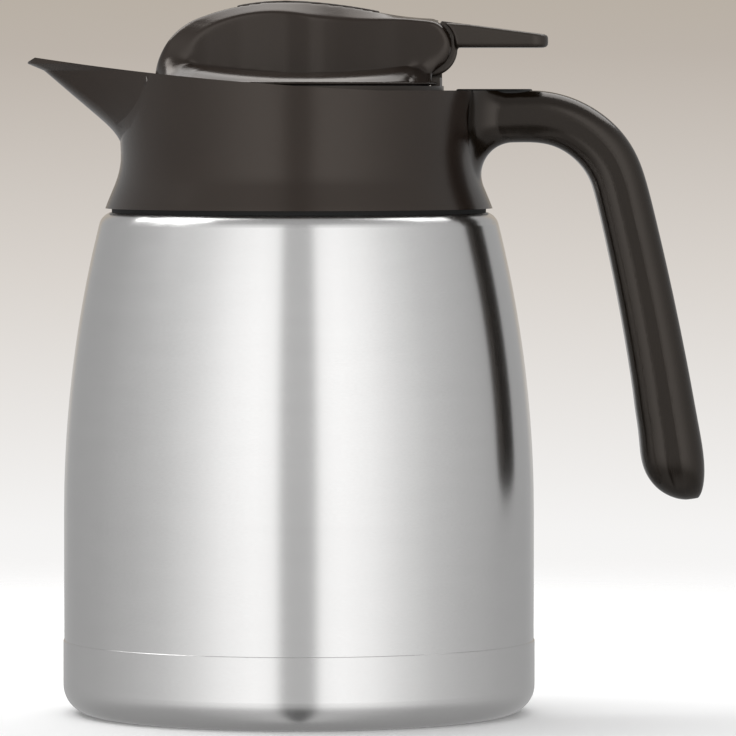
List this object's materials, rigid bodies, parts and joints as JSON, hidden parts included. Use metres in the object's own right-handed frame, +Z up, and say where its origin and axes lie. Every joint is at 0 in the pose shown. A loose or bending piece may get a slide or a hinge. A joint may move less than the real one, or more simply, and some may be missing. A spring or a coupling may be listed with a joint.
{
  "type": "thermal carafe with flip lid",
  "caption": "Stainless vacuum carafe with a bronze plastic spouted collar, an open-ended handle, a screw-in stopper and a rear-hinged flip lid worked by a thumb lever.",
  "frame": {"origin": "centre of the foot ring, on the surface that the carafe stands on and on the bottle's axis", "axes": "+Z up along the bottle's axis, +X towards the handle, -X towards the spout, +Y to the left of the handle seen from behind it"},
  "size_m": [0.2097, 0.1464, 0.2208],
  "materials": {
    "shell_steel": "circumferential satin brushing",
    "inner_steel": "plain electropolished steel",
    "foil": "bright foil",
    "fastener_steel": "plated",
    "bronze_plastic": "satin metallic dark bronze",
    "handle_plastic": "satin dark brown",
    "lever_plastic": "satin dark brown",
    "dark_plastic": "plain moulded",
    "black_rubber": "matt",
    "silicone": "translucent pale",
    "foam": "closed-cell"
  },
  "bodies": {
    "carafe": {"outer_shell": "shell_steel", "base_cup": "shell_steel", "vacuum_seal": "inner_steel", "getter": "inner_steel", "inner_bottle": "inner_steel", "heat_shield_foil": "foil", "collar_gasket": "black_rubber", "spout_collar": "bronze_plastic", "throat_ring": "dark_plastic", "mouth_seal": "silicone", "handle": "handle_plastic", "handle_cover": "handle_plastic", "handle_screws": "fastener_steel", "top_trim": "black_rubber"},
    "seal_ring": {"stopper_gasket": "silicone"},
    "stopper": {"stopper_body": "dark_plastic", "stopper_base": "dark_plastic", "stopper_insulation": "foam"},
    "flip_lid": {"lid_cover": "bronze_plastic", "lid_top_insert": "bronze_plastic", "lid_liner": "dark_plastic", "port_seal": "silicone", "vent_seal": "silicone", "lid_screws": "fastener_steel", "thumb_lever": "lever_plastic", "hinge_pin": "fastener_steel", "hinge_spring": "fastener_steel"}
  },
  "joints": [
    {"name": "stopper_lift", "type": "slide", "parent": "carafe", "child": "seal_ring", "axis": [0, 0, 1], "range_m": [0, 0.12]},
    {"name": "stopper_twist", "type": "hinge", "parent": "seal_ring", "child": "stopper", "pos_m": [0, 0, 0.18], "axis": [0, 0, 1], "range_deg": [0, 60]},
    {"name": "lid_flip", "type": "hinge", "parent": "stopper", "child": "flip_lid", "pos_m": [0.0406, 0, 0.2058], "axis": [0, 1, 0], "range_deg": [0, 18], "stiffness_Nm_per_rad": 0.25}
  ]
}
